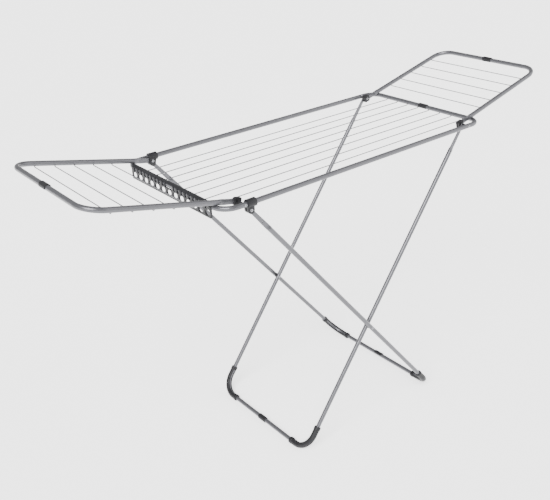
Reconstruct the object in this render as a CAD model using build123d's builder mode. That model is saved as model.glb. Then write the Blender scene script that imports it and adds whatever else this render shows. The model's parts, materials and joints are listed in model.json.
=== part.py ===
# Winged clothes airer: a wire panel on crossed folding legs, with two folding wings.
# Millimetres, +Z up. Origin on the floor under the panel's centre, +X along the rails.
from build123d import *
import math
import os

os.makedirs("parts", exist_ok=True)

# ---- Driving dimensions ----
panel_half_length = 542.0       # centre line of the end bars
panel_half_width = 270.0        # centre line of the rails
panel_height = 1000.0           # centre line of the rails above the floor
frame_tube = 16.0               # rail and wing tube diameter
leg_tube = 15.0                 # leg tube diameter
tube_wall = 0.9
panel_bend = 50.0               # centre-line bend radii
wing_bend = 58.0
leg_bend = 60.0

hinge_x = 472.0                 # wing hinges at both ends; the inner legs share the right one
wing_reach = 450.0              # hinge to the wing's outer bar
wing_half_width = 234.0
wing_rest_gap = 0.3             # between the wing tube and the end bar that it lies on

slider_x = 456.0                # outer legs' hinge, left of centre
slider_drop = 19.0              # and below the rail's centre line
cross_x = 3.0                   # where the two leg frames are riveted together
cross_z = 392.0
outer_leg_half_width = 270.0
inner_leg_half_width = 247.5

wire_diameter = 3.0
wire_hook_bend = 3.0
panel_wires = 8
panel_wire_pitch = 54.0
wing_wires = 5
wing_wire_first = 139.0         # hinge to the first cross wire
wing_wire_pitch = 60.5

press_thickness = 3.6           # flattened tube ends
leg_press_width = 15.4
wing_press_width = 17.5
leg_press_length = 84.0         # hinge to the end of the flat
wing_press_length = 44.0
press_transition = 20.0
leg_end_radius = 6.0            # round ends of the flats at the hinges
wing_end_radius = 7.5
leg_hole_distance = 64.0        # small hole through the leg's flat
leg_hole = 4.0

rivet = 5.0
rivet_head = 9.0
rivet_head_height = 1.4
rivet_bore = 3.4                # tubular rivets are open from end to end

clip_length = 38.0
clip_wall = 2.2
clip_wrap = 230.0               # degrees of the tube that a clip covers
plug_length = 44.0

shoe_wall = 3.2
shoe_leg_length = 34.0          # straight stretch up the leg
shoe_bar_length = 26.0          # straight stretch along the floor bar
shoe_collar = 12.0
shoe_collar_wall = 4.2
shoe_mouth = 9.0                # slot along the inside of the bend

slider_length = 29.0
slider_offset = 5.0             # sleeve's middle from the lobe's, towards the rack's centre
slider_wall = 4.0
slider_lobe_radius = 11.0
slider_lobe_width = 20.0        # across the rack
cap_size = 24.0
left_cap_width = 12.0
right_cap_width = 16.0
bush_diameter = 9.0
spacer_diameter = 14.0

strip_half_length = 221.5
strip_wall = 2.4                # channel over the end bar
strip_web = 5.0                 # web that hangs from the channel
strip_drop = 33.0               # web's lower edge below the bar's centre line
strip_corner = 5.0
strip_holes = 13                # lower row, slanted slots through the web
strip_hole_pitch = 34.2
strip_hole_height = 16.0
strip_hole_spread = 11.2        # between the centres of a hole's round ends
strip_hole_slant = 159.0        # degrees
strip_hole_drop = 18.5          # row's middle below the bar's centre line
strip_slots = 9                 # upper row, on each side of the window
strip_slot_pitch = 21.0
strip_slot_width = 10.0
strip_slot_length = 15.0
strip_slot_slant = 112.0        # degrees
strip_window_width = 42.0
strip_window_height = 13.0

# ---- Clearances ----
fit_gap = 0.1                   # fixed pieces on a tube
pivot_gap = 0.15                # rivet in a hole that turns on it
side_gap = 0.4                  # beside pieces that turn
slide_gap = 1.0                 # slider on its rail
foot_clearance = 2.5            # floor bar above the floor
wire_drop_gap = 1.0             # wires below the bars, so that the hooks clear the bars
wire_hole_gap = 0.35

# ---- Worked out ----
frame_r = frame_tube / 2
leg_r = leg_tube / 2
rivet_r = rivet / 2
foot_z = leg_r + foot_clearance
slider_z = panel_height - slider_drop
bar_distance = panel_half_length - hinge_x
# Each wing tube rests on the end bar close to its corner, where the bar starts to bend back
into_bend = max(0.0, wing_half_width - (panel_half_width - panel_bend))
rest_distance = bar_distance - panel_bend + math.sqrt(panel_bend ** 2 - into_bend ** 2)
wing_tilt = math.degrees(math.asin((frame_tube + wing_rest_gap) / rest_distance))
wire_drop = frame_r + wire_diameter / 2 + wire_drop_gap
rail_inner_y = panel_half_width - frame_r
rail_outer_y = panel_half_width + frame_r


def foot_x(pivot_x, pivot_z):
    """Where the line from a leg's hinge through the crossing meets the floor bar's height."""
    slope = (pivot_x - cross_x) / (pivot_z - cross_z)
    return cross_x - slope * (cross_z - foot_z)


outer_hinge = Vector(-slider_x, 0, slider_z)
outer_foot = Vector(foot_x(-slider_x, slider_z), 0, foot_z)
inner_hinge = Vector(hinge_x, 0, panel_height)
inner_foot = Vector(foot_x(hinge_x, panel_height), 0, foot_z)


def wing_plane(side):
    """The wing's own plane: local X runs out from the hinge, local Z is the wing's upper side."""
    tilt = math.radians(wing_tilt)
    return Plane(
        origin=(side * hinge_x, 0, panel_height),
        x_dir=(side * math.cos(tilt), 0, math.sin(tilt)),
        z_dir=(-side * math.sin(tilt), 0, math.cos(tilt)),
    )


def cross_plane(x, z, y=0.0):
    """A plane across the rack, facing the far side, centred on a hinge line."""
    return Plane(origin=(x, y, z), x_dir=(1, 0, 0), z_dir=(0, -1, 0))


def tube_path(points, bend, diameter, wall=0.0):
    """A tube, or a rod where wall is 0, along straight runs with round bends."""
    with BuildPart() as tube:
        with BuildLine() as path:
            if bend:
                FilletPolyline(*points, radius=bend)
            else:
                Polyline(*points)
        with BuildSketch(Plane(origin=path.line @ 0, z_dir=path.line % 0)):
            Circle(diameter / 2)
            if wall:
                Circle(diameter / 2 - wall, mode=Mode.SUBTRACT)
        sweep()
    return tube.part


def hooked_wire(top_start, low_start, low_end, top_end):
    """A wire under two bars, hooked up into both: the straight run and its two hooks."""
    along = (low_end - low_start).normalized() * (wire_hook_bend + wire_diameter)
    run = tube_path([low_start + along, low_end - along], 0, wire_diameter)
    hooks = [
        tube_path([top_start, low_start, low_start + along], wire_hook_bend, wire_diameter),
        tube_path([top_end, low_end, low_end - along], wire_hook_bend, wire_diameter),
    ]
    return Compound(children=[run] + hooks)


def pressed_end(plane, diameter, end_radius, width, flat_length, hole_at=None):
    """The flattened end of a tube. The plane's origin is on the hinge, its X runs down the
    tube and its Z runs across the rack."""
    tube_start = flat_length + press_transition
    with BuildPart() as end:
        # Flat tongue, narrower and round at the hinge
        with BuildSketch(plane.offset(-press_thickness / 2)):
            with BuildLine():
                Polyline(
                    (0, end_radius),
                    (flat_length, width / 2),
                    (flat_length, -width / 2),
                    (0, -end_radius),
                )
                ThreePointArc((0, -end_radius), (-end_radius, 0), (0, end_radius))
            make_face()
        extrude(amount=press_thickness)
        # Transition from the flat to the round tube
        flat_section = Plane(origin=plane.from_local_coords((flat_length, 0, 0)),
                             x_dir=plane.y_dir, z_dir=plane.x_dir)
        with BuildSketch(flat_section):
            Ellipse(width / 2, press_thickness / 2)
        with BuildSketch(flat_section.offset(press_transition / 2)):
            Ellipse((width + diameter) / 4, (press_thickness + diameter) / 4)
        with BuildSketch(flat_section.offset(press_transition)):
            Circle(diameter / 2)
        loft()
        # Short round socket that the plain tube continues from
        with BuildSketch(flat_section.offset(press_transition)):
            Circle(diameter / 2)
            Circle(diameter / 2 - tube_wall, mode=Mode.SUBTRACT)
        extrude(amount=1.0)
        # Hinge hole and the small hole beside it
        with BuildSketch(plane.offset(-width)):
            Circle(rivet_r + pivot_gap)
            if hole_at:
                with Locations((hole_at, 0)):
                    Circle(leg_hole / 2)
        extrude(amount=2 * width, mode=Mode.SUBTRACT)
    return end.part, tube_start + 1.0


def rivet_set(x, z, spans):
    """Tubular rivets across the rack: each span is its two clamped faces in Y."""
    with BuildPart() as rivets:
        for low, high in spans:
            with BuildSketch(cross_plane(x, z, high)):
                Circle(rivet_r)
            extrude(amount=high - low)
            for face_y, outward in ((low, 1), (high, -1)):
                with BuildSketch(cross_plane(x, z, face_y)):
                    Circle(rivet_head / 2)
                extrude(amount=outward * rivet_head_height)
            with BuildSketch(cross_plane(x, z, high + rivet_head)):
                Circle(rivet_bore / 2)
            extrude(amount=high - low + 2 * rivet_head, mode=Mode.SUBTRACT)
    return rivets.part


def save(part, name):
    part.label = name
    export_step(part, f"parts/{name}.step")


def joint_clip(centre, up, diameter):
    """A C-shaped clip over the tube joint, its mouth facing away from the up direction."""
    with BuildPart() as clip:
        with BuildSketch(Plane(origin=centre - Vector(0, clip_length / 2, 0), x_dir=up, z_dir=(0, 1, 0))):
            Circle(diameter / 2 + fit_gap + clip_wall)
            Circle(diameter / 2 + fit_gap, mode=Mode.SUBTRACT)
            mouth = math.radians((360 - clip_wrap) / 2)
            reach = diameter + clip_wall * 2
            with BuildLine():
                Polyline((0, 0), (-reach * math.cos(mouth), reach * math.sin(mouth)), (-2 * reach, 0),
                         (-reach * math.cos(mouth), -reach * math.sin(mouth)), close=True)
            make_face(mode=Mode.SUBTRACT)
        extrude(amount=clip_length)
        fillet(clip.edges().filter_by(Axis.Y, reverse=True).group_by(Axis.Y)[-1], clip_wall * 0.25)
        fillet(clip.edges().filter_by(Axis.Y, reverse=True).group_by(Axis.Y)[0], clip_wall * 0.25)
    return clip.part


def joint_plug(centre, diameter):
    """The plug inside a tube joint, along the bar."""
    half = Vector(0, plug_length / 2, 0)
    return tube_path([centre - half, centre + half], 0, diameter - 2 * tube_wall - 2 * fit_gap)


# ---- Panel: two tube halves, joined at the middle of the end bars ----
wire_ys = [(i - (panel_wires - 1) / 2) * panel_wire_pitch for i in range(panel_wires)]
wire_hole_r = wire_diameter / 2 + wire_hole_gap

for name, side in (("near", -1), ("far", 1)):
    rail = tube_path(
        [
            (-panel_half_length, 0, panel_height),
            (-panel_half_length, side * panel_half_width, panel_height),
            (panel_half_length, side * panel_half_width, panel_height),
            (panel_half_length, 0, panel_height),
        ],
        panel_bend, frame_tube, tube_wall,
    )
    with BuildPart() as panel_half:
        add(rail)
        # Wire holes in the underside of the end bars
        with BuildSketch(Plane.XY.offset(panel_height - frame_tube)):
            for end_x in (-panel_half_length, panel_half_length):
                with Locations([(end_x, y) for y in wire_ys if y * side > 0]):
                    Circle(wire_hole_r)
        extrude(amount=frame_tube, mode=Mode.SUBTRACT)
        # Rivet holes through the rail
        for end_x in (-hinge_x, hinge_x):
            with BuildSketch(cross_plane(end_x, panel_height, panel_half_width + frame_tube)):
                Circle(rivet_r)
            extrude(amount=2 * (panel_half_width + frame_tube), mode=Mode.SUBTRACT)
    save(panel_half.part, f"panel_tube_{name}")

# The sock strip covers the joint of the left end bar, a clip covers the right one
save(joint_clip(Vector(panel_half_length, 0, panel_height), (0, 0, 1), frame_tube), "panel_clip_right")

panel_plugs = [joint_plug(Vector(x, 0, panel_height), frame_tube)
               for x in (-panel_half_length, panel_half_length)]
save(Compound(children=panel_plugs), "panel_joint_plugs")

# Wires run under the end bars and hook up into them
hook_top = frame_r / 4                  # below the bar's centre line
for number, y in enumerate(wire_ys, start=1):
    wire = hooked_wire(
        Vector(-panel_half_length, y, panel_height - hook_top),
        Vector(-panel_half_length, y, panel_height - wire_drop),
        Vector(panel_half_length, y, panel_height - wire_drop),
        Vector(panel_half_length, y, panel_height - hook_top),
    )
    save(wire, f"panel_wire_{number}")

# ---- Wings ----
wing_wire_us = [wing_wire_first + i * wing_wire_pitch for i in range(wing_wires)]

for wing_name, side, cap_width in (("left", -1, left_cap_width), ("right", 1, right_cap_width)):
    plane = wing_plane(side)
    for half_name, half in (("near", -1), ("far", 1)):
        hinge_y = half * wing_half_width
        local_y = hinge_y * side            # the left wing's local Y points to the near side
        end_plane = Plane(origin=plane.from_local_coords((0, local_y, 0)),
                          x_dir=plane.x_dir, z_dir=(0, 1, 0))
        tongue, tube_start = pressed_end(end_plane, frame_tube, wing_end_radius, wing_press_width,
                                         wing_press_length)
        points = [plane.from_local_coords(p) for p in (
            (tube_start, local_y, 0), (wing_reach, local_y, 0), (wing_reach, 0, 0))]
        with BuildPart() as wing_half:
            add(tube_path(points, wing_bend, frame_tube, tube_wall))
            add(tongue)
            with BuildSketch(plane.offset(-frame_tube)):
                with Locations([(u, local_y) for u in wing_wire_us]):
                    Circle(wire_hole_r)
            extrude(amount=frame_tube, mode=Mode.SUBTRACT)
        save(wing_half.part, f"{wing_name}_wing_tube_{half_name}")

        # Cap over the flattened end
        cap_far = wing_half_width - left_cap_width / 2 + cap_width
        cap_y = half * (wing_half_width - left_cap_width / 2 + cap_width / 2)
        cap_plane = Plane(origin=(side * hinge_x, cap_y, panel_height), x_dir=plane.x_dir, z_dir=(0, 1, 0))
        with BuildPart() as cap:
            with BuildSketch(cap_plane.offset(-cap_width / 2)):
                RectangleRounded(cap_size, cap_size, cap_size / 5)
            extrude(amount=cap_width)
            fillet(cap.faces().filter_by(Axis.Y).edges(), 1.2)
            # Pocket for the tongue, open towards the wing
            with BuildSketch(end_plane.offset(-press_thickness / 2 - fit_gap)):
                with Locations((cap_size / 4, 0)):
                    Rectangle(cap_size / 2 + cap_size, wing_press_width + 2 * fit_gap)
            extrude(amount=press_thickness + 2 * fit_gap, mode=Mode.SUBTRACT)
            with BuildSketch(cap_plane.offset(-cap_width)):
                Circle(rivet_r + pivot_gap)
            extrude(amount=2 * cap_width, mode=Mode.SUBTRACT)
        save(cap.part, f"{wing_name}_wing_cap_{half_name}")

    outer_bar = plane.from_local_coords((wing_reach, 0, 0))
    save(joint_clip(outer_bar, plane.z_dir, frame_tube), f"{wing_name}_wing_clip")
    save(joint_plug(outer_bar, frame_tube), f"{wing_name}_wing_plug")

    for number, u in enumerate(wing_wire_us, start=1):
        wire = hooked_wire(*[plane.from_local_coords(Vector(u, y, -depth)) for y, depth in (
            (-wing_half_width, hook_top), (-wing_half_width, wire_drop),
            (wing_half_width, wire_drop), (wing_half_width, hook_top))])
        save(wire, f"{wing_name}_wing_wire_{number}")

# ---- Sock strip: a channel snapped over the left end bar, with a pierced web below it ----
channel_inner = frame_r + fit_gap
channel_outer = channel_inner + strip_wall
web_inner = channel_outer - strip_web
section_plane = Plane(origin=(-panel_half_length, -strip_half_length, panel_height),
                      x_dir=(-1, 0, 0), z_dir=(0, 1, 0))
face_plane = Plane(origin=(-panel_half_length - channel_outer - strip_wall, 0, panel_height),
                   x_dir=(0, 1, 0), z_dir=(1, 0, 0))
hole_ys = [(i - (strip_holes - 1) / 2) * strip_hole_pitch for i in range(strip_holes)]
first_slot = (strip_window_width + strip_slot_pitch) / 2
slot_ys = [first_slot + i * strip_slot_pitch for i in range(strip_slots)]

with BuildPart() as sock_strip:
    with BuildSketch(section_plane):
        Circle(channel_outer)
        with Locations((channel_outer - strip_web / 2, -strip_drop / 2)):
            Rectangle(strip_web, strip_drop)
        # Open below, beside the web, so that it snaps on and the wires' hooks pass
        with Locations((web_inner - channel_outer, -channel_outer)):
            Rectangle(2 * channel_outer, 2 * channel_outer, mode=Mode.SUBTRACT)
        Circle(channel_inner, mode=Mode.SUBTRACT)
    extrude(amount=2 * strip_half_length)
    fillet(sock_strip.edges().filter_by(Axis.X).group_by(Axis.Z)[0], strip_corner)
    with BuildSketch(face_plane):
        with Locations([(y, -strip_hole_drop) for y in hole_ys]):
            SlotCenterToCenter(strip_hole_spread, strip_hole_height, rotation=strip_hole_slant)
        RectangleRounded(strip_window_width, strip_window_height, 2.0)
        with Locations([(side * y, 0) for y in slot_ys for side in (-1, 1)]):
            SlotOverall(strip_slot_length, strip_slot_width, rotation=strip_slot_slant)
    extrude(amount=channel_outer + strip_wall, mode=Mode.SUBTRACT)
save(sock_strip.part, "sock_strip")

# ---- Legs ----
leg_frames = (
    ("inner", inner_hinge, inner_foot, inner_leg_half_width),
    ("outer", outer_hinge, outer_foot, outer_leg_half_width),
)
for frame_name, hinge, foot, half_width in leg_frames:
    down = (foot - hinge).normalized()
    normal = Vector(-down.Z, 0, down.X)             # the leg frame's upper side
    if normal.Z < 0:
        normal = -normal
    for half_name, half in (("near", -1), ("far", 1)):
        across = Vector(0, half * half_width, 0)
        end_plane = Plane(origin=hinge + across, x_dir=down, z_dir=(0, 1, 0))
        tongue, tube_start = pressed_end(end_plane, leg_tube, leg_end_radius, leg_press_width,
                                         leg_press_length, leg_hole_distance)
        with BuildPart() as leg:
            add(tube_path([hinge + across + down * tube_start, foot + across, foot],
                          leg_bend, leg_tube, tube_wall))
            add(tongue)
            # Rivet hole at the crossing
            with BuildSketch(cross_plane(cross_x, cross_z, half_width + leg_tube)):
                Circle(rivet_r + (pivot_gap if frame_name == "inner" else 0))
            extrude(amount=2 * (half_width + leg_tube), mode=Mode.SUBTRACT)
        save(leg.part, f"{frame_name}_leg_{half_name}")

        # Corner shoe: a channel round the outside of the bend, with a collar at each end
        top = foot + across - down * (leg_bend + shoe_leg_length)
        inner_end = foot + Vector(0, half * (half_width - leg_bend - shoe_bar_length), 0)
        profile_plane = Plane(origin=top, x_dir=(0, half, 0), z_dir=down)
        with BuildPart() as shoe:
            with BuildLine() as bend_line:
                FilletPolyline(top, foot + across, inner_end, radius=leg_bend)
            with BuildSketch(profile_plane):
                Circle(leg_r + fit_gap + shoe_wall)
                Circle(leg_r + fit_gap, mode=Mode.SUBTRACT)
                with Locations((-leg_tube, 0)):
                    Rectangle(2 * leg_tube, shoe_mouth, mode=Mode.SUBTRACT)
            sweep()
            bar_end_plane = Plane(origin=inner_end, x_dir=down, z_dir=(0, half, 0))
            for collar_plane in (profile_plane, bar_end_plane):
                with BuildSketch(collar_plane):
                    Circle(leg_r + fit_gap + shoe_collar_wall)
                    Circle(leg_r + fit_gap, mode=Mode.SUBTRACT)
                extrude(amount=shoe_collar)
            # Flat sole on the floor
            with BuildSketch(Plane.XY):
                with Locations((foot.X, 0)):
                    Rectangle(6 * leg_tube, 4 * half_width)
            extrude(amount=-2 * leg_tube, mode=Mode.SUBTRACT)
        save(shoe.part, f"{frame_name}_shoe_{half_name}")

    save(joint_clip(foot, normal, leg_tube), f"{frame_name}_leg_clip")
    save(joint_plug(foot, leg_tube), f"{frame_name}_leg_plug")

# Crossing: spacers between the frames, rivets through both
with BuildPart() as crossing_spacers:
    gap_outer = outer_leg_half_width - leg_r
    gap_inner = inner_leg_half_width + leg_r + side_gap
    for side in (-1, 1):
        with BuildSketch(cross_plane(cross_x, cross_z, side * gap_inner)):
            Circle(spacer_diameter / 2)
            Circle(rivet_r, mode=Mode.SUBTRACT)
        extrude(amount=-side * (gap_outer - gap_inner))
save(crossing_spacers.part, "crossing_spacers")

cross_outer = outer_leg_half_width + leg_r
cross_inner = inner_leg_half_width - leg_r - side_gap
save(rivet_set(cross_x, cross_z, ((-cross_outer, -cross_inner), (cross_inner, cross_outer))),
     "crossing_rivets")

# ---- Hinge rivets through the rails ----
cap_inner = wing_half_width - left_cap_width / 2 - side_gap
hinge_spans = ((-rail_outer_y, -cap_inner), (cap_inner, rail_outer_y))
save(rivet_set(-hinge_x, panel_height, hinge_spans), "left_hinge_rivets")
save(rivet_set(hinge_x, panel_height, hinge_spans), "right_hinge_rivets")

# Bushes on the rivets, between the rails and the parts that turn
left_bush_y = wing_half_width + left_cap_width / 2 + side_gap
right_bush_y = inner_leg_half_width + press_thickness / 2 + side_gap
for name, x, bush_y in (("left", -hinge_x, left_bush_y), ("right", hinge_x, right_bush_y)):
    with BuildPart() as hinge_bushes:
        for side in (-1, 1):
            with BuildSketch(cross_plane(x, panel_height, side * bush_y)):
                Circle(bush_diameter / 2)
                Circle(rivet_r, mode=Mode.SUBTRACT)
            extrude(amount=-side * (rail_inner_y - bush_y))
    save(hinge_bushes.part, f"{name}_hinge_bushes")

# ---- Sliders on the rails, each with a forked lobe for the outer leg ----
slider_bore = frame_r + slide_gap
slider_outer = slider_bore + slider_wall
lobe_half = slider_lobe_width / 2
for half_name, half in (("near", -1), ("far", 1)):
    y = half * outer_leg_half_width
    sleeve_start = slider_offset - slider_length / 2 - slider_x
    with BuildPart() as slider:
        with BuildSketch(Plane(origin=(sleeve_start, half * panel_half_width, panel_height),
                               z_dir=(1, 0, 0))):
            Circle(slider_outer)
        extrude(amount=slider_length)
        # Lobe below the rail
        with BuildSketch(cross_plane(-slider_x, slider_z, y + lobe_half)):
            Circle(slider_lobe_radius)
            with Locations((0, slider_drop / 2)):
                Rectangle(2 * slider_lobe_radius, slider_drop)
        extrude(amount=slider_lobe_width)
        # Bore for the rail
        with BuildSketch(Plane(origin=(-slider_x - slider_length, half * panel_half_width, panel_height),
                               z_dir=(1, 0, 0))):
            Circle(slider_bore)
        extrude(amount=2 * slider_length, mode=Mode.SUBTRACT)
        # Fork for the leg's flat end
        with BuildSketch(cross_plane(-slider_x, slider_z, y + press_thickness / 2 + side_gap)):
            with Locations((0, leg_end_radius + side_gap - slider_drop)):
                Rectangle(4 * slider_lobe_radius, 2 * slider_drop)
        extrude(amount=press_thickness + 2 * side_gap, mode=Mode.SUBTRACT)
        # Rivet hole
        with BuildSketch(cross_plane(-slider_x, slider_z, y + slider_lobe_width)):
            Circle(rivet_r)
        extrude(amount=2 * slider_lobe_width, mode=Mode.SUBTRACT)
    save(slider.part, f"slider_{half_name}")

slider_spans = [(side * outer_leg_half_width - lobe_half, side * outer_leg_half_width + lobe_half)
                for side in (-1, 1)]
save(rivet_set(-slider_x, slider_z, slider_spans), "slider_rivets")
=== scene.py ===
import json
import math

import bmesh
import bpy
import numpy as np
from mathutils import Matrix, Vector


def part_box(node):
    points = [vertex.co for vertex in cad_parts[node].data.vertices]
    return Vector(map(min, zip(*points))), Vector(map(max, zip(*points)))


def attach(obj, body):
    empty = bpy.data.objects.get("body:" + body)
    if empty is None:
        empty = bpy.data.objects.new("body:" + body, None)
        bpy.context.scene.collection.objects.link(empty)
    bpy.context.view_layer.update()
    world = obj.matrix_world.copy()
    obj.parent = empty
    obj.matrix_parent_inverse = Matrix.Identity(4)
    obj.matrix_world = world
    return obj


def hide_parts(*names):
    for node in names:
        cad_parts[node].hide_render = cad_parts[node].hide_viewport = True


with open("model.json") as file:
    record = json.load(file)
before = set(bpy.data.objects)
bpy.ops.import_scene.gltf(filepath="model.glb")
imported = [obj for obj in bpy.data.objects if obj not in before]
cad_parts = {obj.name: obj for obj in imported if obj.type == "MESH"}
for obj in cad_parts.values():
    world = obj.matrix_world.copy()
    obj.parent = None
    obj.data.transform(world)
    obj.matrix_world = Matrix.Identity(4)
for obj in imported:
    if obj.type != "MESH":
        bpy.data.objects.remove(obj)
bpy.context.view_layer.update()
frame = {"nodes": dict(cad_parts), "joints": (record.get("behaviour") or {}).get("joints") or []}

joints = {joint["name"]: np.array(joint["pos_m"]) for joint in frame["joints"]}


def corners(node):
    # lowest and highest corner of a CAD node, as arrays
    low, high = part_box(node)
    return np.array(low), np.array(high)


def unit(vector):
    return vector / np.linalg.norm(vector)


# Paths and surfaces.

def roundedPath(points, bend, bendSteps=20):
    # straight runs joined by true arcs: each corner is cut back by bend / tan(half its angle),
    # and the arc turns about the point bend / sin(half angle) inside the corner
    points = [np.array(point, float) for point in points]
    path = [points[0][None]]
    for before, corner, after in zip(points[:-2], points[1:-1], points[2:]):
        back, onward = unit(before - corner), unit(after - corner)
        half = math.acos(np.clip(back @ onward, -1, 1)) / 2
        centre = corner + unit(back + onward) * bend / math.sin(half)
        spoke = corner + back * bend / math.tan(half) - centre
        turn = np.linspace(0, math.pi - 2 * half, bendSteps)[:, None]
        path.append(centre + np.cos(turn) * spoke - np.sin(turn) * bend * back)
    path.append(points[-1][None])
    return np.vstack(path)


def stationsAlong(path, extra=(), runStep=0.03, endStep=0.0005):
    # distances along the path: its own points, the extra ones, one at least every runStep,
    # and one endStep from each end, so that the shading of an end stays at the end
    own = np.concatenate([[0], np.cumsum(np.linalg.norm(np.diff(path, axis=0), axis=1))])
    even = np.linspace(0, own[-1], int(own[-1] / runStep) + 2)
    ends = [endStep, own[-1] - endStep]
    stations = np.unique(np.round(np.concatenate([own, even, extra, ends]), 6))
    stations = stations[(stations >= 0) & (stations <= own[-1] + 1e-6)]
    keep = np.concatenate([np.diff(stations) > 2e-5, [True]])
    places = np.stack([np.interp(stations, own, path[:, axis]) for axis in range(3)], 1)
    return stations[keep], places[keep]


def ringAxes(places, planeNormal):
    # for a path in one plane: the tangent, and the direction across it in that plane
    tangent = np.gradient(places, axis=0)
    tangent /= np.linalg.norm(tangent, axis=1)[:, None]
    across = np.cross(planeNormal, tangent)
    return tangent, across / np.linalg.norm(across, axis=1)[:, None]


def gridMesh(name, grid, along, around, capStart=True, capEnd=True):
    # rows of closed rings joined by quads, each end closed by a fan to its middle;
    # the UV map runs in metres, along the rows and around the rings
    rows, sides = grid.shape[:2]
    vertices = grid.reshape(-1, 3)
    row, side = np.meshgrid(np.arange(rows - 1), np.arange(sides), indexing="ij")
    nextSide = (side + 1) % sides
    quads = np.stack([row * sides + side, row * sides + nextSide,
                      (row + 1) * sides + nextSide, (row + 1) * sides + side], -1).reshape(-1, 4)
    ringStep = around / sides
    quadUv = np.stack([
        np.stack([along[row], side * ringStep], -1),
        np.stack([along[row], (side + 1) * ringStep], -1),
        np.stack([along[row + 1], (side + 1) * ringStep], -1),
        np.stack([along[row + 1], side * ringStep], -1)], 2).reshape(-1, 4, 2)
    faces = quads.tolist()
    loopUv = [quadUv.reshape(-1, 2)]
    index = np.arange(sides)
    ends = []
    if capStart:
        ends.append((0, grid[0].mean(0), np.roll(index, -1), index))
    if capEnd:
        ends.append((rows - 1, grid[-1].mean(0), index, np.roll(index, -1)))
    for rowIndex, middle, first, second in ends:
        centre = len(vertices)
        vertices = np.vstack([vertices, middle[None]])
        base = rowIndex * sides
        faces += np.stack([np.full(sides, centre), base + first, base + second], 1).tolist()
        fan = np.zeros((sides, 3, 2))
        fan[:, :, 0] = along[rowIndex]
        fan[:, 1, 1], fan[:, 2, 1] = first * ringStep, second * ringStep
        loopUv.append(fan.reshape(-1, 2))
    mesh = bpy.data.meshes.new(name)
    mesh.from_pydata(vertices.tolist(), [], faces)
    uvLayer = mesh.uv_layers.new(name="UVMap")
    uvLayer.data.foreach_set("uv", np.vstack(loopUv).astype(np.float32).ravel())
    smooth = np.ones(len(faces), bool)
    smooth[len(quads):] = False
    mesh.polygons.foreach_set("use_smooth", smooth)
    return mesh


def tubeMesh(name, stations, places, planeNormal, halfAcross, halfUp, squareness, sides=28):
    # superellipse ring: across * |cos|^(2/q) and up * |sin|^(2/q), q = 2 being a plain ellipse
    tangent, across = ringAxes(places, planeNormal)
    angle = np.linspace(0, 2 * math.pi, sides, endpoint=False)
    power = 2 / squareness[:, None]
    cosine = np.sign(np.cos(angle)) * np.abs(np.cos(angle)) ** power
    sine = np.sign(np.sin(angle)) * np.abs(np.sin(angle)) ** power
    grid = (places[:, None] + across[:, None] * (halfAcross[:, None] * cosine)[..., None]
            + np.array(planeNormal)[None, None] * (halfUp[:, None] * sine)[..., None])
    return gridMesh(name, grid, stations, 2 * math.pi * float(halfUp.max()))


def sleeveMesh(name, stations, places, planeNormal, midRadius, halfWall, halfSpan, facing, arcSteps=26):
    # a C-shaped wall: outer arc, round lip, inner arc, round lip; facing is the angle of its back
    tangent, across = ringAxes(places, planeNormal)
    sweep = np.linspace(-1, 1, arcSteps)
    lip = np.linspace(0, math.pi, 7)[1:-1]
    span = halfSpan[:, None]
    middle, wall = midRadius[:, None], halfWall[:, None]
    angle = np.concatenate([span * sweep, span + 0 * lip, -span * sweep, -span + 0 * lip], 1)
    radial = np.concatenate([wall + 0 * sweep, wall * np.cos(lip),
                             -wall + 0 * sweep, -wall * np.cos(lip)], 1)
    sideways = np.concatenate([0 * wall * sweep, wall * np.sin(lip),
                               0 * wall * sweep, -wall * np.sin(lip)], 1)
    turn = angle + facing
    outX = (middle + radial) * np.cos(turn) - sideways * np.sin(turn)
    outY = (middle + radial) * np.sin(turn) + sideways * np.cos(turn)
    grid = (places[:, None] + across[:, None] * outX[..., None]
            + np.array(planeNormal)[None, None] * outY[..., None])
    mesh = gridMesh(name, grid, stations, 2 * math.pi * float(midRadius.max()), False, False)
    return welded(mesh)


def turnedMesh(name, profile, origin, axis, sides=32):
    # a closed outline of (radius, height) pairs turned about an axis
    axis = unit(np.array(axis, float))
    helper = np.array([1.0, 0, 0]) if abs(axis[0]) < 0.9 else np.array([0, 0, 1.0])
    first = unit(np.cross(axis, helper))
    second = np.cross(axis, first)
    profile = np.array(profile, float)
    angle = np.linspace(0, 2 * math.pi, sides, endpoint=False)[:, None]
    spoke = np.cos(angle) * first + np.sin(angle) * second
    grid = np.array(origin) + spoke[:, None] * profile[None, :, :1] + axis * profile[None, :, 1:]
    grid = np.concatenate([grid, grid[:1]], 0)
    along = np.linspace(0, 2 * math.pi * profile[:, 0].max(), sides + 1)
    return welded(gridMesh(name, grid, along, 0.02, False, False))


def welded(mesh, distance=2e-6):
    # merges what meets, and points every face outwards
    work = bmesh.new()
    work.from_mesh(mesh)
    bmesh.ops.remove_doubles(work, verts=work.verts, dist=distance)
    bmesh.ops.dissolve_degenerate(work, edges=work.edges, dist=distance / 2)
    bmesh.ops.recalc_face_normals(work, faces=work.faces)
    work.to_mesh(mesh)
    work.free()
    return mesh


def addPiece(name, meshes, body, material, nodes):
    # one object at the origin from one or more meshes
    if len(meshes) > 1:
        work = bmesh.new()
        for mesh in meshes:
            work.from_mesh(mesh)
        joined = bpy.data.meshes.new(name)
        work.to_mesh(joined)
        work.free()
        meshes = [joined]
    piece = bpy.data.objects.new(name, meshes[0])
    piece.data.name = name
    bpy.context.scene.collection.objects.link(piece)
    piece.data.materials.clear()
    piece.data.materials.append(material)
    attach(piece, body)
    if nodes:
        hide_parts(*nodes)
    return piece


# Materials.

def linearColour(hexText):
    channels = [int(hexText[i:i + 2], 16) / 255 for i in (0, 2, 4)]
    return [c / 12.92 if c <= 0.04045 else ((c + 0.055) / 1.055) ** 2.4 for c in channels] + [1]


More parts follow.
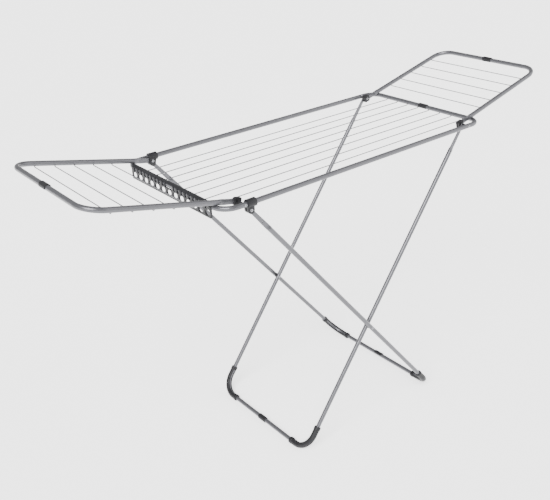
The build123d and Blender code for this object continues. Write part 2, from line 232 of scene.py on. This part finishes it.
def addNode(tree, kind, settings=None, inputs=None):
    # adds a node; an input given as a socket is linked, anything else is its value
    node = tree.nodes.new(kind)
    for key, value in (settings or {}).items():
        setattr(node, key, value)
    for key, value in (inputs or {}).items():
        if isinstance(value, bpy.types.NodeSocket):
            tree.links.new(value, node.inputs[key])
        else:
            node.inputs[key].default_value = value
    return node


def newMaterial(name, surface):
    # a material with one Principled shader; surface holds its constant values
    material = bpy.data.materials.new(name)
    material.use_nodes = True
    tree = material.node_tree
    shader = tree.nodes["Principled BSDF"]
    for key, value in surface.items():
        shader.inputs[key].default_value = value
    return material, tree, shader


silverPaint = {
    "colour": "5E5E62", "shade": "525256",   # clear silver grey, and its duller patches
    "patch": 0.16,                           # metres across one patch
    "flake": 0.0011,                         # aluminium flake, drawn larger than the real 0.1 mm
    "peel": 0.0016,                          # orange peel of the sprayed coat
    "drawLine": 0.0007,                      # lines left by the tube mill, under the paint
}


def sprayedSilverPaint(name, look, metallic=0.6, roughness=0.3):
    # stoved silver paint on steel tube: a soft sheen, a fine sparkle and a slight orange peel
    material, tree, shader = newMaterial(name, {
        "Metallic": metallic, "Coat Weight": 0.12, "Coat Roughness": 0.25})
    place = addNode(tree, "ShaderNodeTexCoord")
    patches = addNode(tree, "ShaderNodeTexNoise", inputs={
        "Vector": place.outputs["Object"], "Scale": 1 / look["patch"], "Detail": 3.0})
    flakes = addNode(tree, "ShaderNodeTexVoronoi", inputs={
        "Vector": place.outputs["Object"], "Scale": 1 / look["flake"]})
    peel = addNode(tree, "ShaderNodeTexNoise", inputs={
        "Vector": place.outputs["Object"], "Scale": 1 / look["peel"], "Detail": 2.0})
    stretched = addNode(tree, "ShaderNodeMapping", inputs={
        "Vector": place.outputs["UV"], "Scale": (12.0, 1 / look["drawLine"], 1.0)})
    lines = addNode(tree, "ShaderNodeTexNoise", inputs={
        "Vector": stretched.outputs["Vector"], "Scale": 1.0, "Detail": 2.0})
    base = addNode(tree, "ShaderNodeMix", {"data_type": "RGBA"}, {
        "Factor": patches.outputs["Fac"], 6: linearColour(look["shade"]), 7: linearColour(look["colour"])})
    sparkle = addNode(tree, "ShaderNodeHueSaturation", inputs={"Color": base.outputs[2]})
    spread = addNode(tree, "ShaderNodeMapRange", inputs={
        "Value": flakes.outputs["Color"], "To Min": 0.93, "To Max": 1.08})
    tree.links.new(spread.outputs["Result"], sparkle.inputs["Value"])
    tree.links.new(sparkle.outputs["Color"], shader.inputs["Base Color"])
    rough = addNode(tree, "ShaderNodeMapRange", inputs={
        "Value": lines.outputs["Fac"], "To Min": roughness - 0.05, "To Max": roughness + 0.07})
    tree.links.new(rough.outputs["Result"], shader.inputs["Roughness"])
    relief = addNode(tree, "ShaderNodeMath", {"operation": "ADD"}, {
        0: peel.outputs["Fac"], 1: lines.outputs["Fac"]})
    bump = addNode(tree, "ShaderNodeBump", inputs={
        "Height": relief.outputs["Value"], "Strength": 0.06, "Distance": 0.00012})
    tree.links.new(bump.outputs["Normal"], shader.inputs["Normal"])
    return material


darkPlastic = {
    "colour": "1A1A1C", "worn": "2A2A2D",    # graphite grey, and the paler colour of the flow marks and of the painted highlight on the crests
    "grain": 0.0008,                         # spark-eroded mould grain, about twice its real size
    "cloud": 0.03,                           # slow flow marks
}


def mouldedPlastic(name, look, roughness=0.42):
    # graphite polypropylene straight from a spark-eroded mould: matt, finely grained, with a painted
    # highlight lightening the crests
    material, tree, shader = newMaterial(name, {"IOR": 1.49, "Specular IOR Level": 0.22})
    place = addNode(tree, "ShaderNodeTexCoord")
    grain = addNode(tree, "ShaderNodeTexNoise", inputs={
        "Vector": place.outputs["Object"], "Scale": 1 / look["grain"], "Detail": 3.0, "Roughness": 0.6})
    cloud = addNode(tree, "ShaderNodeTexNoise", inputs={
        "Vector": place.outputs["Object"], "Scale": 1 / look["cloud"], "Detail": 4.0})
    crest = addNode(tree, "ShaderNodeNewGeometry")
    # painted highlight: the colour is lightened along convex crests and lips, as if they caught the light
    paintedCrestHighlight = addNode(tree, "ShaderNodeMapRange", inputs={
        "Value": crest.outputs["Pointiness"], "From Min": 0.51, "From Max": 0.60, "To Max": 0.6})
    shade = addNode(tree, "ShaderNodeMapRange", inputs={
        "Value": cloud.outputs["Fac"], "From Min": 0.3, "From Max": 0.7, "To Max": 0.35})
    # the paler colour serves both the slow flow marks and the painted crest highlight
    flowMarksAndPaintedHighlight = addNode(tree, "ShaderNodeMath", {"operation": "ADD", "use_clamp": True}, {
        0: paintedCrestHighlight.outputs["Result"], 1: shade.outputs["Result"]})
    colour = addNode(tree, "ShaderNodeMix", {"data_type": "RGBA"}, {
        "Factor": flowMarksAndPaintedHighlight.outputs["Value"], 6: linearColour(look["colour"]), 7: linearColour(look["worn"])})
    tree.links.new(colour.outputs[2], shader.inputs["Base Color"])
    rough = addNode(tree, "ShaderNodeMapRange", inputs={
        "Value": grain.outputs["Fac"], "To Min": roughness - 0.08, "To Max": roughness + 0.1})
    tree.links.new(rough.outputs["Result"], shader.inputs["Roughness"])
    bump = addNode(tree, "ShaderNodeBump", inputs={
        "Height": grain.outputs["Fac"], "Strength": 0.25, "Distance": 0.00015})
    tree.links.new(bump.outputs["Normal"], shader.inputs["Normal"])
    return material


zincPlate = {"colour": "A8A9AC", "dull": "86878B", "spangle": 0.0012, "scratch": 0.0004}


def platedSteel(name, look):
    # zinc-plated rivet: a bright, slightly mottled metal with fine turning marks from the setting tool
    material, tree, shader = newMaterial(name, {"Metallic": 1.0})
    place = addNode(tree, "ShaderNodeTexCoord")
    spangle = addNode(tree, "ShaderNodeTexVoronoi", inputs={
        "Vector": place.outputs["Object"], "Scale": 1 / look["spangle"]})
    marks = addNode(tree, "ShaderNodeTexNoise", inputs={
        "Vector": place.outputs["Object"], "Scale": 1 / look["scratch"], "Detail": 3.0})
    colour = addNode(tree, "ShaderNodeMix", {"data_type": "RGBA"}, {
        "Factor": spangle.outputs["Color"], 6: linearColour(look["dull"]), 7: linearColour(look["colour"])})
    tree.links.new(colour.outputs[2], shader.inputs["Base Color"])
    rough = addNode(tree, "ShaderNodeMapRange", inputs={
        "Value": marks.outputs["Fac"], "To Min": 0.2, "To Max": 0.42})
    tree.links.new(rough.outputs["Result"], shader.inputs["Roughness"])
    bump = addNode(tree, "ShaderNodeBump", inputs={
        "Height": marks.outputs["Fac"], "Strength": 0.1, "Distance": 0.00005})
    tree.links.new(bump.outputs["Normal"], shader.inputs["Normal"])
    return material


tubePaint = sprayedSilverPaint("silverPaintOnSteelTube", silverPaint)
wirePaint = sprayedSilverPaint(
    "silverPaintOnDrawnWire",
    dict(silverPaint, colour="5E5E62", shade="545458", drawLine=0.0004), metallic=0.4, roughness=0.36)
fittingPlastic = mouldedPlastic("graphiteMouldedPlastic", darkPlastic)
stripPlastic = mouldedPlastic("graphiteStripPlastic", dict(darkPlastic, colour="18181A"), roughness=0.45)
rivetMetal = platedSteel("zincPlatedRivet", zincPlate)
print("materials done")

# Tubes.

tubeShape = {
    "panelBend": 0.050, "wingBend": 0.058, "legBend": 0.060,
    "legRadius": 0.0075,
    "press": 0.0036,                                    # flattened ends
    "legFlat": 0.084, "legEnd": 0.006, "legWidth": 0.0154,
    "wingFlat": 0.044, "wingEnd": 0.0075, "wingWidth": 0.0175,
    "transition": 0.022, "flatSquareness": 7.0,
    "holeFromHinge": 0.064, "holeRadius": 0.002,        # small hole through each leg's flat
}
panelLow, panelHigh = corners("panel_tube_near")
frameRadius = (panelHigh[2] - panelLow[2]) / 2
panelZ = (panelHigh[2] + panelLow[2]) / 2
panelEnd = panelHigh[0] - frameRadius
railY = -panelLow[1] - frameRadius
up = np.array([0.0, 0.0, 1.0])


def plainTube(name, points, bend, planeNormal, radius):
    stations, places = stationsAlong(roundedPath(points, bend))
    flat = np.full(len(stations), radius)
    return tubeMesh(name, stations, places, planeNormal, flat, flat, np.full(len(stations), 2.0))


def pressedTube(name, points, bend, planeNormal, radius, flatLength, endRadius, flatWidth):
    # the first run starts at the hinge: round tongue end, tapered flat, then a smooth step to the tube
    shape = tubeShape
    ahead = unit(np.array(points[1]) - np.array(points[0]))
    start = np.array(points[0]) - ahead * endRadius
    turn = np.linspace(0, math.pi / 2, 14)
    fine = endRadius * (1 - np.cos(turn))
    step = endRadius + np.linspace(0, flatLength + shape["transition"], 40)
    stations, places = stationsAlong(
        roundedPath([start] + [np.array(p) for p in points[1:]], bend), np.concatenate([fine, step]))
    fromHinge = stations - endRadius
    widen = np.clip(fromHinge / flatLength, 0, 1)
    ease = np.clip((fromHinge - flatLength) / shape["transition"], 0, 1)
    ease = ease * ease * (3 - 2 * ease)
    tongue = endRadius + (flatWidth / 2 - endRadius) * widen
    roundEnd = np.sqrt(np.clip(endRadius ** 2 - np.minimum(fromHinge, 0) ** 2, 1e-9, None))
    tongue = np.where(fromHinge < 0, roundEnd, tongue)
    halfUp = tongue * (1 - ease) + radius * ease
    halfAcross = shape["press"] / 2 * (1 - ease) + radius * ease
    squareness = shape["flatSquareness"] * (1 - ease) + 2 * ease
    return tubeMesh(name, stations, places, planeNormal, halfAcross, halfUp, squareness)


def pierced(mesh, centre, radius, sides=20):
    # a round hole along Y, cut with a cylinder
    angle = np.linspace(0, 2 * math.pi, sides, endpoint=False)
    rim = np.stack([np.cos(angle), 0 * angle, np.sin(angle)], 1) * radius
    reach = np.array([0, 0.01, 0])
    grid = np.stack([centre - reach + rim, centre + reach + rim])
    cutter = bpy.data.objects.new("cutter", welded(gridMesh("cutter", grid, np.array([0, 0.02]), 0.01)))
    target = bpy.data.objects.new("target", mesh)
    for helper in (cutter, target):
        bpy.context.scene.collection.objects.link(helper)
    cut = target.modifiers.new("cut", "BOOLEAN")
    cut.operation, cut.object, cut.solver = "DIFFERENCE", cutter, "EXACT"
    evaluated = target.evaluated_get(bpy.context.evaluated_depsgraph_get())
    result = bpy.data.meshes.new_from_object(evaluated)
    for helper in (cutter, target):
        bpy.data.objects.remove(helper)
    return result


for side, sign in (("near", -1), ("far", 1)):
    mesh = plainTube("panelRail", [
        (-panelEnd, 0, panelZ), (-panelEnd, sign * railY, panelZ),
        (panelEnd, sign * railY, panelZ), (panelEnd, 0, panelZ)],
        tubeShape["panelBend"], up, frameRadius)
    addPiece(f"panelRail_{side}", [mesh], "panel", tubePaint, [f"panel_tube_{side}"])

wings = {}
for wing, outward in (("left", -1), ("right", 1)):
    hinge = joints[f"{wing}_wing_fold"]
    low, high = corners(f"{wing}_wing_tube_near")
    barX = low[0] + frameRadius if outward < 0 else high[0] - frameRadius
    outerBar = np.array([barX, 0, high[2] - frameRadius])
    along = unit(outerBar - hinge)
    normal = np.cross(along, np.array([0, 1.0, 0])) * outward
    wingY = -low[1] - frameRadius
    wings[wing] = {"hinge": hinge, "outerBar": outerBar, "along": along, "normal": normal, "halfWidth": wingY}
    for side, sign in (("near", -1), ("far", 1)):
        shift = np.array([0, sign * wingY, 0])
        mesh = pressedTube("wingTube", [hinge + shift, outerBar + shift, outerBar],
                           tubeShape["wingBend"], normal, frameRadius, tubeShape["wingFlat"],
                           tubeShape["wingEnd"], tubeShape["wingWidth"])
        addPiece(f"{wing}WingTube_{side}", [mesh], f"{wing}_wing", tubePaint,
                 [f"{wing}_wing_tube_{side}"])

legs = {}
legRadius = tubeShape["legRadius"]
for legFrame, hinge in (("inner", joints["leg_close"]), ("outer", joints["slider_level"])):
    low, high = corners(f"{legFrame}_leg_near")
    footX = low[0] + legRadius if legFrame == "inner" else high[0] - legRadius
    foot = np.array([footX, 0, low[2] + legRadius])
    legY = -low[1] - legRadius
    down = unit(foot - hinge)
    normal = np.cross(down, np.array([0, 1.0, 0]))
    normal *= np.sign(normal[2])
    legs[legFrame] = {"hinge": hinge, "foot": foot, "down": down, "normal": normal, "halfWidth": legY}
    for side, sign in (("near", -1), ("far", 1)):
        shift = np.array([0, sign * legY, 0])
        mesh = pressedTube("legTube", [hinge + shift, foot + shift, foot],
                           tubeShape["legBend"], normal, legRadius, tubeShape["legFlat"],
                           tubeShape["legEnd"], tubeShape["legWidth"])
        mesh = pierced(mesh, hinge + shift + down * tubeShape["holeFromHinge"], tubeShape["holeRadius"])
        addPiece(f"{legFrame}Leg_{side}", [mesh], f"{legFrame}_legs", tubePaint,
                 [f"{legFrame}_leg_{side}"])
print("tubes done")

# Wires.

wireShape = {"radius": 0.0015, "bend": 0.003, "hookTop": 0.002, "sides": 14}


def hookedWire(name, start, end, drop, normal):
    # runs below the bars and turns up into both of them
    hook = -normal * wireShape["hookTop"]
    low = -normal * drop
    points = [start + hook, start + low, end + low, end + hook]
    planeNormal = unit(np.cross(end - start, normal))
    stations, places = stationsAlong(roundedPath(points, wireShape["bend"], 10), runStep=0.05)
    flat = np.full(len(stations), wireShape["radius"])
    return tubeMesh(name, stations, places, planeNormal, flat, flat,
                    np.full(len(stations), 2.0), wireShape["sides"])


firstWireLow = corners("panel_wire_1")[0]
wireDrop = panelZ - firstWireLow[2] - wireShape["radius"]
for number in range(1, 9):
    low, high = corners(f"panel_wire_{number}")
    y = (low[1] + high[1]) / 2
    mesh = hookedWire("panelWire", np.array([-panelEnd, y, panelZ]), np.array([panelEnd, y, panelZ]),
                      wireDrop, up)
    addPiece(f"panelWire_{number}", [mesh], "panel", wirePaint, [f"panel_wire_{number}"])
for wing, place in wings.items():
    for number in range(1, 6):
        low, high = corners(f"{wing}_wing_wire_{number}")
        middle = (low + high) / 2
        reach = (middle - place["hinge"]) @ place["along"]
        across = np.array([0, place["halfWidth"], 0])
        centre = place["hinge"] + place["along"] * reach
        mesh = hookedWire("wingWire", centre - across, centre + across, wireDrop, place["normal"])
        addPiece(f"{wing}WingWire_{number}", [mesh], f"{wing}_wing", wirePaint,
                 [f"{wing}_wing_wire_{number}"])
print("wires done")

# Clips and shoes.

clipShape = {"length": 0.038, "wall": 0.0022, "gap": 0.0001, "wrap": 230}   # wrap in degrees
shoeShape = {
    "wall": 0.0032, "collarWall": 0.0042, "gap": 0.0001, "collar": 0.012,
    "legLength": 0.034, "barLength": 0.026, "channelWrap": 285, "collarWrap": 335,   # degrees
    "collarStep": 0.0012,                               # over which the collar rises from the channel
}


def roundedEnds(stations, full, length):
    # half thickness that falls to nothing over its own width at both ends, as a round edge does
    fromEnd = np.minimum(stations, length - stations)
    into = np.clip(1 - fromEnd / full, 0, 1)
    return full * np.sqrt(np.clip(1 - into ** 2, 0, None))


def edgeStations(length, full):
    # close stations over both rounded ends, spaced as a quarter circle's projection
    turn = np.linspace(0, math.pi / 2, 7)
    edge = full * (1 - np.cos(turn))
    return np.concatenate([edge, length - edge])


def jointClip(name, centre, planeNormal, radius):
    # C-shaped clip along Y, its back towards planeNormal
    half = np.array([0, clipShape["length"] / 2, 0])
    wall = clipShape["wall"] / 2
    stations, places = stationsAlong(np.stack([centre - half, centre + half]),
                                     edgeStations(clipShape["length"], wall), 0.004)
    middle = np.full(len(stations), radius + clipShape["gap"] + wall)
    span = np.full(len(stations), math.radians(clipShape["wrap"] / 2))
    return sleeveMesh(name, stations, places, planeNormal, middle,
                      roundedEnds(stations, wall, clipShape["length"]), span, math.pi / 2)


def cornerShoe(name, leg, sign):
    # channel round the outside of the leg's bend, with a nearly closed collar at each end
    shape = shoeShape
    bend = tubeShape["legBend"]
    corner = leg["foot"] + np.array([0, sign * leg["halfWidth"], 0])
    top = corner - leg["down"] * (bend + shape["legLength"])
    inner = corner - np.array([0, sign * (bend + shape["barLength"]), 0])
    path = roundedPath([top, corner, inner], bend, 30)
    length = float(np.linalg.norm(np.diff(path, axis=0), axis=1).sum())
    wall, collarWall = shape["wall"] / 2, shape["collarWall"] / 2
    step = np.array([-1, -0.5, 0, 0.5, 1]) * shape["collarStep"]
    extra = np.concatenate([edgeStations(length, collarWall), shape["collar"] + step,
                            length - shape["collar"] + step])
    stations, places = stationsAlong(path, extra, 0.003)
    fromEnd = np.minimum(stations, length - stations)
    collar = np.clip((shape["collar"] - fromEnd) / shape["collarStep"] + 0.5, 0, 1)
    collar = collar * collar * (3 - 2 * collar)
    thickness = wall + (collarWall - wall) * collar
    rounding = roundedEnds(stations, collarWall, length)
    inside = legRadius + shape["gap"]
    middle = inside + thickness
    wrap = shape["channelWrap"] + (shape["collarWrap"] - shape["channelWrap"]) * collar
    tangent, across = ringAxes(places, leg["normal"])
    outside = 0.0 if across[0] @ np.array([0, sign, 0]) > 0 else math.pi
    return sleeveMesh(name, stations, places, leg["normal"], middle, np.minimum(thickness, rounding),
                      np.radians(wrap / 2), outside)


def cutAtFloor(mesh):
    # flat sole: what would lie below the floor is pressed up to it
    coordinates = np.zeros(len(mesh.vertices) * 3)
    mesh.vertices.foreach_get("co", coordinates)
    coordinates = coordinates.reshape(-1, 3)
    coordinates[:, 2] = np.maximum(coordinates[:, 2], 0)
    mesh.vertices.foreach_set("co", coordinates.ravel())
    return mesh


mesh = jointClip("panelClip", np.array([panelEnd, 0, panelZ]), up, frameRadius)
addPiece("panelClip_right", [mesh], "panel", fittingPlastic, ["panel_clip_right"])
for wing, place in wings.items():
    mesh = jointClip("wingClip", place["outerBar"], place["normal"], frameRadius)
    addPiece(f"{wing}WingClip", [mesh], f"{wing}_wing", fittingPlastic, [f"{wing}_wing_clip"])
for legFrame, leg in legs.items():
    mesh = jointClip("legClip", leg["foot"], leg["normal"], legRadius)
    addPiece(f"{legFrame}LegClip", [mesh], f"{legFrame}_legs", fittingPlastic,
             [f"{legFrame}_leg_clip"])
    for side, sign in (("near", -1), ("far", 1)):
        mesh = cutAtFloor(cornerShoe("cornerShoe", leg, sign))
        addPiece(f"{legFrame}Shoe_{side}", [mesh], f"{legFrame}_legs", fittingPlastic,
                 [f"{legFrame}_shoe_{side}"])
print("clips and shoes done")

# Rivets, bushes and spacers.

rivetShape = {"bore": 0.0017, "shank": 0.0025, "head": 0.0045, "headHeight": 0.0014}


def tubularRivet(name, low, high):
    # closed outline: bore, a rolled half-round rim at each end, and the shank between
    shape = rivetShape
    turn = np.linspace(0, math.pi, 13)
    middle, reach = (shape["bore"] + shape["head"]) / 2, (shape["head"] - shape["bore"]) / 2
    length = high[1] - low[1] - 2 * shape["headHeight"]
    rim = np.stack([middle - reach * np.cos(turn), shape["headHeight"] * np.sin(turn)], 1)
    topRim = rim + [0, length]
    bottomRim = (rim * [1, -1])[::-1]
    outline = np.vstack([topRim, [[shape["shank"], length], [shape["shank"], 0]], bottomRim])
    origin = [(low[0] + high[0]) / 2, low[1] + shape["headHeight"], (low[2] + high[2]) / 2]
    return turnedMesh(name, outline, origin, (0, 1, 0))


def chamferedRing(name, low, high, bore, edge=0.0006):
    # closed outline: bore, a flat end, a small bevel, the outside, and the same again
    radius = (high[0] - low[0]) / 2
    length = high[1] - low[1]
    outline = [(bore, 0), (bore, length), (radius - edge, length), (radius, length - edge),
               (radius, edge), (radius - edge, 0)]
    origin = [(low[0] + high[0]) / 2, low[1], (low[2] + high[2]) / 2]
    return turnedMesh(name, outline, origin, (0, 1, 0))


def nearAndFar(node, inner):
    # the two spans of a symmetric pair: from the box's outer faces in to +-inner
    low, high = corners(node)
    return ((low, np.array([high[0], -inner, high[2]])), (np.array([low[0], inner, low[2]]), high))


def innerEdge(node):
    # smallest distance from the middle that the node's mesh reaches
    vertices = np.array([vertex.co for vertex in frame["nodes"][node].data.vertices])
    return float(np.abs(vertices[:, 1]).min())


rivetSets = (("left_hinge_rivets", "panel"), ("right_hinge_rivets", "panel"),
             ("crossing_rivets", "outer_legs"), ("slider_rivets", "sliders"))
for node, body in rivetSets:
    words = node.split("_")
    meshes = [tubularRivet("rivet", low, high) for low, high in nearAndFar(node, innerEdge(node))]
    addPiece(words[0] + "".join(word.capitalize() for word in words[1:]), meshes, body,
             rivetMetal, [node])
ringSets = (("left_hinge_bushes", "panel"), ("right_hinge_bushes", "panel"),
            ("crossing_spacers", "outer_legs"))
for node, body in ringSets:
    words = node.split("_")
    meshes = [chamferedRing("ring", low, high, rivetShape["shank"])
              for low, high in nearAndFar(node, innerEdge(node))]
    addPiece(words[0] + "".join(word.capitalize() for word in words[1:]), meshes, body,
             fittingPlastic, [node])
print("rivets done")

# Moulded blocks: sliders, wing caps and the sock strip.

mouldedEdge = {"slider": 0.0012, "cap": 0.0006, "strip": 0.0006}


def mouldedCopy(node, name, body, material, edge):
    # the CAD shape, merged, with its sharp edges rounded
    mesh = frame["nodes"][node].data.copy()
    work = bmesh.new()
    work.from_mesh(mesh)
    bmesh.ops.remove_doubles(work, verts=work.verts, dist=1e-6)
    bmesh.ops.dissolve_limit(work, angle_limit=math.radians(1), verts=work.verts, edges=work.edges)
    work.to_mesh(mesh)
    work.free()
    piece = addPiece(name, [mesh], body, material, [node])
    rounding = piece.modifiers.new("mouldRounding", "BEVEL")
    rounding.width = edge
    rounding.segments = 3
    rounding.limit_method = "ANGLE"
    rounding.angle_limit = math.radians(35)
    rounding.harden_normals = True
    piece.data.shade_smooth()
    return piece


for side in ("near", "far"):
    mouldedCopy(f"slider_{side}", f"slider_{side}_block", "sliders", fittingPlastic,
                mouldedEdge["slider"])
    for wing in wings:
        mouldedCopy(f"{wing}_wing_cap_{side}", f"{wing}WingCap_{side}", f"{wing}_wing",
                    fittingPlastic, mouldedEdge["cap"])
mouldedCopy("sock_strip", "sockStrip", "panel", stripPlastic, mouldedEdge["strip"])
for node in frame["nodes"].values():
    if node.name.endswith(("plug", "plugs")):
        node.data.materials.clear()
        node.data.materials.append(fittingPlastic)
print("moulded blocks done")

# Floor, light and camera.

studio = {
    "floor": "FAFAFA", "floorSize": 90.0, "floorGlow": 1.4,   # lit from below, like a light table
    "world": 0.7,
    "keyPower": 6.5, "keySize": 42.0, "keyPlace": (-3.0, -2.2, 4.2),     # sizes in degrees
    "fillPower": 1.6, "fillSize": 60.0, "fillPlace": (3.6, -2.4, 2.4),
}
floorHalf = studio["floorSize"] / 2
floorMesh = bpy.data.meshes.new("floor")
floorMesh.from_pydata([(-floorHalf, -floorHalf, 0), (floorHalf, -floorHalf, 0),
                       (floorHalf, floorHalf, 0), (-floorHalf, floorHalf, 0)], [], [(0, 1, 2, 3)])
floor = bpy.data.objects.new("floor", floorMesh)
bpy.context.scene.collection.objects.link(floor)
floorMaterial, floorTree, floorShader = newMaterial("paleStudioFloor", {
    "Roughness": 0.85, "Emission Color": (1, 1, 1, 1), "Emission Strength": studio["floorGlow"]})
floorPlace = addNode(floorTree, "ShaderNodeTexCoord")
floorNoise = addNode(floorTree, "ShaderNodeTexNoise", inputs={
    "Vector": floorPlace.outputs["Object"], "Scale": 1.5, "Detail": 2.0})
floorColour = addNode(floorTree, "ShaderNodeMix", {"data_type": "RGBA"}, {
    "Factor": floorNoise.outputs["Fac"], 6: linearColour("F6F6F6"), 7: linearColour(studio["floor"])})
floorTree.links.new(floorColour.outputs[2], floorShader.inputs["Base Color"])
floorMesh.materials.append(floorMaterial)

world = bpy.data.worlds.new("studioWorld")
world.use_nodes = True
world.node_tree.nodes["Background"].inputs["Color"].default_value = (1, 1, 1, 1)
world.node_tree.nodes["Background"].inputs["Strength"].default_value = studio["world"]
bpy.context.scene.world = world


def softLight(name, place, size, power, target=(0, 0, 0.7)):
    # parallel light from a wide disc, so that the floor is lit evenly out to the horizon
    light = bpy.data.lights.new(name, "SUN")
    light.angle = math.radians(size)
    light.energy = power
    lamp = bpy.data.objects.new(name, light)
    away = np.array(place) - np.array(target)
    yaw = math.atan2(away[0], -away[1])
    pitch = math.atan2(math.hypot(away[0], away[1]), away[2])
    lamp.rotation_euler = (pitch, 0, yaw)
    lamp.location = place
    bpy.context.scene.collection.objects.link(lamp)
    return lamp


softLight("keyLight", studio["keyPlace"], studio["keySize"], studio["keyPower"])
softLight("fillLight", studio["fillPlace"], studio["fillSize"], studio["fillPower"])

view = {
    "place": (-1.5987, -1.9544, 1.8682),
    "heading": 39.93, "down": 25.64, "roll": -2.317,   # degrees
    "lens": 52.07, "sensor": 36.0,                     # millimetres
    "shiftX": -0.090, "shiftY": -0.0293,
}
cameraData = bpy.data.cameras.new("camera")
cameraData.lens = view["lens"]
cameraData.sensor_width = view["sensor"]
cameraData.shift_x = view["shiftX"]
cameraData.shift_y = view["shiftY"]
camera = bpy.data.objects.new("camera", cameraData)
camera.matrix_world = (Matrix.Translation(view["place"])
                       @ Matrix.Rotation(math.radians(-view["heading"]), 4, "Z")
                       @ Matrix.Rotation(math.radians(90 - view["down"]), 4, "X")
                       @ Matrix.Rotation(math.radians(view["roll"]), 4, "Z"))
bpy.context.scene.collection.objects.link(camera)
bpy.context.scene.camera = camera
print("studio done")
